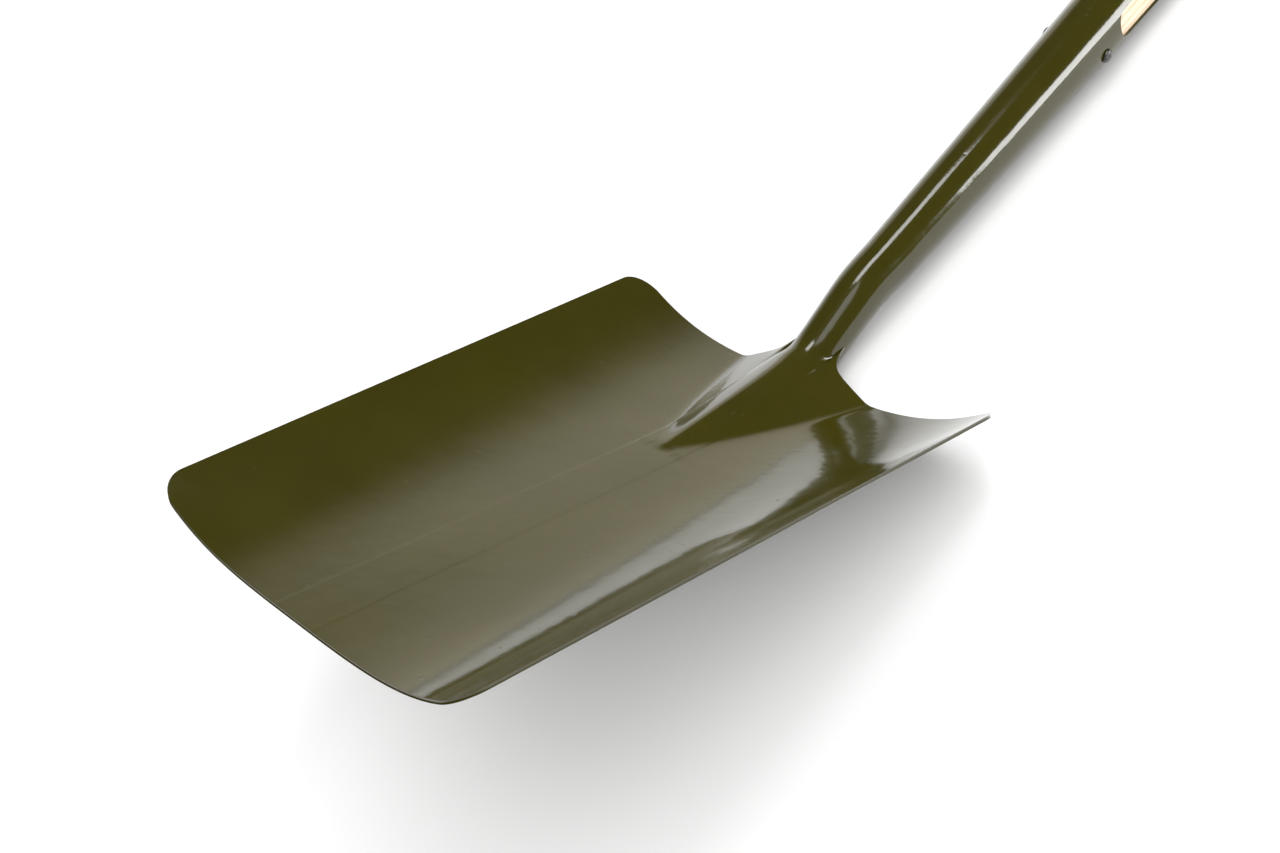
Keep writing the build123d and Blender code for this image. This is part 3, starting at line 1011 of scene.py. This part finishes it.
@dataclass
class Shaft(Turned):
    """Ash shaft from its foot in the socket's bore to its top in the yoke's sleeve."""

    foot: float = 78.1
    foot_radius: float = 14.13
    socket_mouth: float = 274.0
    strap_end: float = 456.0
    radius: float = 18.8
    parallel: float = 533.5
    top_radius: float = 17.0
    top: float = 685.4
    chamfer: float = 2.0
    steps: int = 72

    def radius_at(self, distance: float) -> float:
        """Radius at a distance up the axis."""
        if distance < self.socket_mouth:
            share = (distance - self.foot) / (self.socket_mouth - self.foot)
            return mix(self.foot_radius, self.radius, share)
        wave = 0.06 * noise.noise(Vector((0.2, 0.5, distance * 0.03)))
        wave *= smooth_step(self.strap_end, self.strap_end + 20, distance)
        wave *= 1 - smooth_step(self.parallel + 55, self.parallel + 75, distance)
        taper = smooth_step(self.strap_end, self.parallel, distance)
        return mix(self.radius, self.top_radius, taper) + wave

    def profile(self) -> list[tuple[float, float]]:
        """Foot, cone, taper and top."""
        low, high = self.foot + self.chamfer, self.top - self.chamfer
        points = [(0, self.foot), (self.radius_at(low) - self.chamfer, self.foot)]
        points += [(self.radius_at(d), d) for d in (mix(low, high, i / 110) for i in range(111))]
        return points + [(self.top_radius - self.chamfer, self.top), (0, self.top)]


# ---- D-grip ----


@dataclass
class GripYoke:
    """Steel tube, split at its top and spread into two channel arms that end in eyes."""

    lay: Lay
    sleeve_bottom: float = 613.5
    sleeve_top: float = 685.5
    sleeve_radius: float = 19.3
    wall: float = 2.2
    half_depth: float = 11.0
    eye_radius: float = 15.0
    half_ring: int = 24
    path: tuple[tuple[float, ...], ...] = (
        # station along the arm, place across and up the axis of its open side, then of its back
        (0.0, 0.0, 685.5, 19.3, 685.5),
        (1.0, 2.2, 690.0, 19.8, 688.3),
        (2.0, 8.0, 696.5, 22.6, 691.8),
        (3.0, 19.0, 703.0, 29.8, 697.2),
        (4.0, 33.0, 711.5, 41.8, 706.2),
        (5.0, 44.5, 723.0, 53.2, 718.6),
        (6.0, 49.4, 737.0, 58.4, 735.0),
        (7.0, 50.2, 749.0, 59.0, 749.0),
        (8.0, 52.4, 758.0, 59.0, 758.0),
        (9.0, 55.0, 765.0, 59.0, 765.0),
        (10.0, 55.0, 774.0, 59.0, 774.0),
        (11.0, 55.0, 782.0, 59.0, 782.0),
        (12.0, 55.0, 788.3, 59.0, 788.3),
    )

    def section(self, station: float, up: float) -> tuple[float, float]:
        """Half depth and squareness of the arm's section.

        Args:
            station: Place along the arm, from 0 at the split to 12 at its end.
            up: Place up the axis.

        Returns:
            The half depth, and the power that squares the section.
        """
        spread = smooth_step(0, 3.5, station)
        depth = mix(self.sleeve_radius, self.half_depth, spread)
        past = up - self.lay.bar_position
        disc = math.sqrt(max(0.4, self.eye_radius**2 - past * past))
        if past > 0:
            depth = disc
        elif past > -self.eye_radius:
            depth = max(depth, disc)
        return depth, mix(mix(1.0, 0.42, spread), 0.26, smooth_step(7.0, 9.0, station))

    def arm_place(self, station: float, turn: float, side: int) -> Vector:
        """Place on the arm's outer skin.

        Args:
            station: Place along the arm.
            turn: Angle round the section in radians, 0 in front, pi at the back.
            side: 1 for the right arm, -1 for the left.

        Returns:
            The place, in the blade's frame.
        """
        across, up, back_across, back_up = along_table(list(self.path), station)
        depth, power = self.section(station, up)
        cosine, sine = math.cos(turn), abs(math.sin(turn))
        front = depth * math.copysign(abs(cosine) ** power, cosine)
        out = sine**power
        return self.lay.on_axis(mix(up, back_up, out), side * mix(across, back_across, out), front)

    def build(self) -> bpy.types.Object:
        """Makes the sleeve and both arms as one sheet, then gives it its wall."""
        bm = bmesh.new()
        count = 2 * self.half_ring
        made = bmesh.ops.create_circle(bm, segments=count, radius=1)["verts"]
        loop = sorted(made, key=lambda v: math.atan2(v.co.x, v.co.y) % (2 * math.pi - 1e-4))
        turns = [2 * math.pi * i / count for i in range(count)]

        def place_ring(distance: float) -> None:
            """Puts the loop's vertices round the sleeve at a distance up the axis."""
            for vert, turn in zip(loop, turns):
                across = self.sleeve_radius * math.sin(turn)
                vert.co = self.lay.on_axis(distance, across, self.sleeve_radius * math.cos(turn))

        place_ring(self.sleeve_bottom)
        for i in range(1, 13):
            edges = [bm.edges.get(pair) for pair in zip(loop, loop[1:] + loop[:1])]
            grown = bmesh.ops.extrude_edge_only(bm, edges=edges)["geom"]
            fresh = {g for g in grown if isinstance(g, bmesh.types.BMVert)}
            loop = [SpadeHead.step(vert, fresh) for vert in loop]
            place_ring(mix(self.sleeve_bottom, self.sleeve_top, i / 12))
        half = self.half_ring
        for side, chain in ((1, loop[: half + 1]), (-1, loop[half:] + loop[:1])):
            stations = [12 * (i / 44) for i in range(1, 42)] + [11.45, 11.7, 11.86, 11.95, 12.0]
            for station in stations:
                edges = [bm.edges.get(pair) for pair in zip(chain, chain[1:])]
                grown = bmesh.ops.extrude_edge_only(bm, edges=edges)["geom"]
                fresh = {g for g in grown if isinstance(g, bmesh.types.BMVert)}
                chain = [SpadeHead.step(vert, fresh) for vert in chain]
                for i, vert in enumerate(chain):
                    turn = math.pi * i / half
                    vert.co = self.arm_place(station, turn if side > 0 else math.pi - turn, side)
        piece = make_piece("grip_yoke_pressing", bm, self.lay.matrix(), 60)
        wall = piece.modifiers.new("wall", "SOLIDIFY")
        wall.thickness = self.wall * MM
        wall.offset = -1
        soft = piece.modifiers.new("soft_edges", "BEVEL")
        soft.width = 0.5 * MM
        soft.segments = 2
        soft.limit_method = "ANGLE"
        soft.angle_limit = math.radians(50)
        return piece


# ---- Studio ----


@dataclass
class Studio:
    """Floor, lights and camera."""

    camera_place: tuple[float, float, float] = (0.4589, -0.6085, 0.5763)
    camera_turn: tuple[float, float, float] = (42.76, 19.381, 42.47)
    lens: float = 41.198

    def build(self) -> None:
        """Sets up the floor, the world, the lights and the camera."""
        bm = bmesh.new()
        bmesh.ops.create_grid(bm, x_segments=2, y_segments=2, size=60)
        floor = make_piece("floor", bm, Matrix.Identity(4))
        floor.data.materials.append(PaleFloor().material())
        self.world()
        blade, neck, socket = (0, -0.3, 0.06), (0.0, -0.19, 0.03), (-0.11, -0.215, 0.04)
        self.softbox("key_overhead", blade, 118, 66, 3.0, (2.6, 2.6), 40)
        self.softbox("fill_back_left", blade, -42, 34, 2.6, (1.6, 1.2), 26, False)
        self.softbox("fill_right", socket, 62, 12, 1.8, (1.0, 0.8), 9, False)
        self.softbox("strip_overhead", neck, -8, 66, 2.2, (0.5, 0.8), 9)
        self.softbox("strip_right", socket, 48, 9, 1.62, (0.5, 0.42), 7)
        data = bpy.data.cameras.new("camera")
        data.lens = self.lens
        data.sensor_width = 36
        data.clip_start, data.clip_end = 0.01, 100
        camera = bpy.data.objects.new("camera", data)
        camera.location = self.camera_place
        camera.rotation_euler = [math.radians(a) for a in self.camera_turn]
        bpy.context.scene.collection.objects.link(camera)
        bpy.context.scene.camera = camera
        bpy.context.scene.view_settings.view_transform = "Standard"

    def softbox(
        self, name: str, aim: tuple[float, float, float], azimuth: float, height: float,
        away: float, size: tuple[float, float], power: float, in_gloss: bool = True,
    ) -> None:
        """Adds a soft area light that faces a place on the spade.

        Args:
            name: Name of the light.
            aim: Place that it faces, in metres.
            azimuth: Direction round it in degrees, 0 along +Y.
            height: Angle above the floor in degrees.
            away: Distance from the blade in metres.
            size: Width and height in metres.
            power: Power in watts.
            in_gloss: Whether gloss mirrors it.
        """
        data = bpy.data.lights.new(name, "AREA")
        data.shape = "RECTANGLE"
        data.size, data.size_y = size
        data.energy = power
        light = bpy.data.objects.new(name, data)
        a, e = math.radians(azimuth), math.radians(height)
        way = Vector((math.sin(a) * math.cos(e), math.cos(a) * math.cos(e), math.sin(e)))
        light.location = Vector(aim) + way * away
        light.rotation_euler = way.to_track_quat("Z", "Y").to_euler()
        light.visible_camera = False
        light.visible_glossy = in_gloss
        bpy.context.scene.collection.objects.link(light)

    def world(self) -> None:
        """Even pale light, with a dim room and a bright backdrop at the back left in gloss."""
        world = bpy.data.worlds.new("studio")
        bpy.context.scene.world = world
        nodes = NodeTree(world, "ShaderNodeBackground", "ShaderNodeOutputWorld")
        way = nodes.add("ShaderNodeSeparateXYZ")
        nodes.link(nodes.place, "Generated", way, 0)
        azimuth = nodes.add("ShaderNodeMath", operation="ARCTAN2")
        nodes.link(way, "X", azimuth, 0)
        nodes.link(way, "Y", azimuth, 1)
        height = nodes.add("ShaderNodeMath", operation="ARCSINE")
        nodes.link(way, "Z", height, 0)
        left = nodes.window(azimuth, -85, -62, 0, 1)
        right = nodes.window(azimuth, -30, 0, 1, 0)
        card = nodes.maths("MULTIPLY", left, right)
        fade = nodes.window(height, 10, 28, 0.85, 0.0)
        glow = nodes.maths("MULTIPLY", card, fade)
        near = nodes.window(height, 0, 9, 0.15, 0.0)
        room = nodes.maths("ADD", nodes.maths("ADD", glow, near), 0.05)
        path = nodes.add("ShaderNodeLightPath")
        strength = nodes.add("ShaderNodeMix")
        nodes.link(path, "Is Glossy Ray", strength, 0)
        strength.inputs[2].default_value = 0.93
        nodes.link(room, 0, strength, 3)
        nodes.link(strength, 0, nodes.shader, "Strength")
        tint = nodes.add("ShaderNodeMix", data_type="RGBA")
        nodes.link(path, "Is Glossy Ray", tint, 0)
        tint.inputs[6].default_value = (1, 1, 1, 1)
        tint.inputs[7].default_value = (1, 0.94, 0.8, 1)
        nodes.link(tint, 2, nodes.shader, "Color")


def main() -> None:
    """Builds the spade's pieces and the studio in order."""
    logging.basicConfig(level=logging.INFO, format="%(message)s")
    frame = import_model()
    low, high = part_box("grip_bar")
    mounts = {mount["name"]: mount for mount in frame["record"]["mounts"]}
    lay = Lay(bar=(low + high) / 2, axis=Vector(mounts["rack_clip"]["axis"]))
    enamel, steel = Enamel().material(), DarkSteel().material()
    finish_piece(SpadeHead(lay).build(), enamel, Slot.ENAMEL, "spade_head")
    finish_piece(GripYoke(lay).build(), enamel, Slot.ENAMEL, "grip_yoke")
    shaft = Shaft("ash_shaft_turned", "ash_shaft", lay.at_axis(0, lay.up))
    shaft.build(lay, Ash().material(), Slot.ASH)
    across = Vector((1, 0, 0))
    at_bar = lay.at_axis(lay.bar_position, across)
    CrossBar("grip_bar_turned", "grip_bar", at_bar).build(lay, Ash(across=True).material(), Slot.ASH)
    turn = math.radians(12)
    pin_way = across * math.cos(turn) - lay.front * math.sin(turn)
    pin_place = lay.at_axis(256, pin_way)
    pin = Rivet("socket_pin_headed", "socket_pin", pin_place, 32, 40.35, 3.0, 4.3, 2.6)
    pin.build(lay, steel, Slot.STEEL)
    for name, distance in (("lower", 336), ("upper", 434)):
        place = lay.at_axis(distance, lay.front)
        rivet = Rivet(f"strap_rivet_{name}_headed", f"strap_rivet_{name}", place)
        rivet.build(lay, enamel, Slot.ENAMEL)
    for name, distance in (("lower", 631.5), ("upper", 667.5)):
        place = lay.at_axis(distance, lay.front)
        rivet = Rivet(f"yoke_rivet_{name}_headed", f"yoke_rivet_{name}", place, 32, 38.6, 2.5, 4.5, 1.4)
        rivet.build(lay, steel, Slot.STEEL)
    Rivet("grip_rod_headed", "grip_rod", at_bar, 40, 121.2, 4.0, 6.5, 3.0).build(lay, steel, Slot.STEEL)
    for name, side in (("left", -1), ("right", 1)):
        seat = Matrix.Translation(across * (59 * side)) @ lay.at_axis(lay.bar_position, across * side)
        washer = Washer(f"grip_washer_{name}_pressed", f"grip_washer_{name}", seat)
        washer.build(lay, steel, Slot.STEEL)
    Studio().build()


if __name__ == "__main__":
    main()
